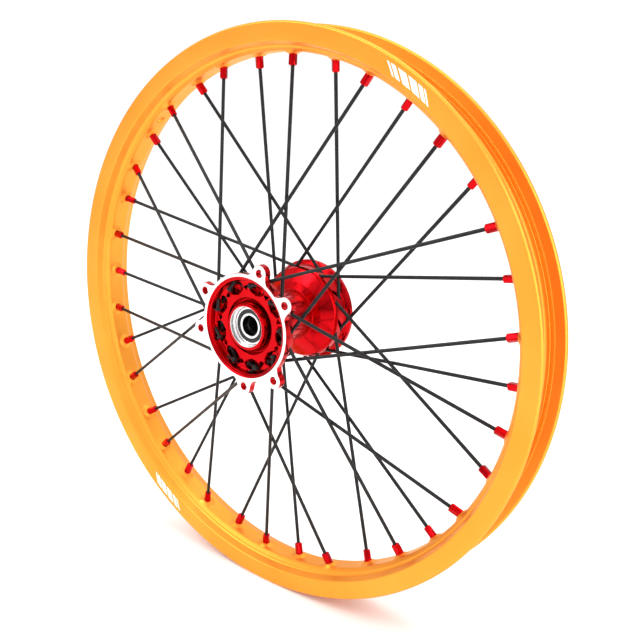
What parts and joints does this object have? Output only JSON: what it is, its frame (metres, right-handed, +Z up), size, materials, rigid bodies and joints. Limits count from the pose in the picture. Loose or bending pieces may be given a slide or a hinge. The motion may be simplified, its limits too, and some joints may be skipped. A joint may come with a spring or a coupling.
{
  "type": "spoked motorcycle wheel",
  "caption": "Off-road motorcycle front wheel: narrow drop-centre rim laced to a flanged hub with tangential spokes, turning on two sealed ball bearings.",
  "frame": {"origin": "centre of the wheel, on the axle line and midway between the rim's flanges", "axes": "+Y along the axle away from the brake-disc side, +Z up, +X to the right as seen from the disc side"},
  "size_m": [0.555, 0.1057, 0.555],
  "materials": {
    "rim_gold": "gold anodised, bead-blasted satin",
    "hub_red": "red anodised, polished",
    "hub_machined": "bare machined faces, turned",
    "spoke_black": "satin black",
    "nipple_red": "red anodised, glossy",
    "bearing_steel": "ground and polished",
    "seal_rubber": "matte moulded",
    "cage_brass": "pressed",
    "spacer_black": "black anodised tube",
    "print_white": "plain printed bars on the rim"
  },
  "bodies": {
    "axle_side": {"bearing_spacer": "spacer_black", "inner_race_disc_side": "bearing_steel", "inner_race_far_side": "bearing_steel"},
    "wheel": {"rim": "rim_gold", "hub_shell": "hub_red", "spoke_01": "spoke_black", "spoke_02": "spoke_black", "spoke_03": "spoke_black", "spoke_04": "spoke_black", "spoke_05": "spoke_black", "spoke_06": "spoke_black", "spoke_07": "spoke_black", "spoke_08": "spoke_black", "spoke_09": "spoke_black", "spoke_10": "spoke_black", "spoke_11": "spoke_black", "spoke_12": "spoke_black", "spoke_13": "spoke_black", "spoke_14": "spoke_black", "spoke_15": "spoke_black", "spoke_16": "spoke_black", "spoke_17": "spoke_black", "spoke_18": "spoke_black", "spoke_19": "spoke_black", "spoke_20": "spoke_black", "spoke_21": "spoke_black", "spoke_22": "spoke_black", "spoke_23": "spoke_black", "spoke_24": "spoke_black", "spoke_25": "spoke_black", "spoke_26": "spoke_black", "spoke_27": "spoke_black", "spoke_28": "spoke_black", "spoke_29": "spoke_black", "spoke_30": "spoke_black", "spoke_31": "spoke_black", "spoke_32": "spoke_black", "spoke_33": "spoke_black", "spoke_34": "spoke_black", "spoke_35": "spoke_black", "spoke_36": "spoke_black", "outer_race_disc_side": "bearing_steel", "outer_race_far_side": "bearing_steel", "seal_disc_side_outer": "seal_rubber", "seal_disc_side_inner": "seal_rubber", "seal_far_side_outer": "seal_rubber", "seal_far_side_inner": "seal_rubber"},
    "balls_disc_side": {"balls_and_cage_disc_side": "cage_brass"},
    "balls_far_side": {"balls_and_cage_far_side": "cage_brass"}
  },
  "joints": [
    {"name": "wheel_spin", "type": "hinge", "parent": "axle_side", "child": "wheel", "pos_m": [0, 0, 0], "axis": [0, 1, 0], "continuous": true},
    {"name": "cage_spin_disc_side", "type": "hinge", "parent": "axle_side", "child": "balls_disc_side", "pos_m": [0, -0.0393, 0], "axis": [0, 1, 0], "continuous": true},
    {"name": "cage_spin_far_side", "type": "hinge", "parent": "axle_side", "child": "balls_far_side", "pos_m": [0, 0.0393, 0], "axis": [0, 1, 0], "continuous": true}
  ],
  "couplings": [
    {"joint": "cage_spin_disc_side", "follows": "wheel_spin", "ratio": 0.5976},
    {"joint": "cage_spin_far_side", "follows": "wheel_spin", "ratio": 0.5976}
  ]
}
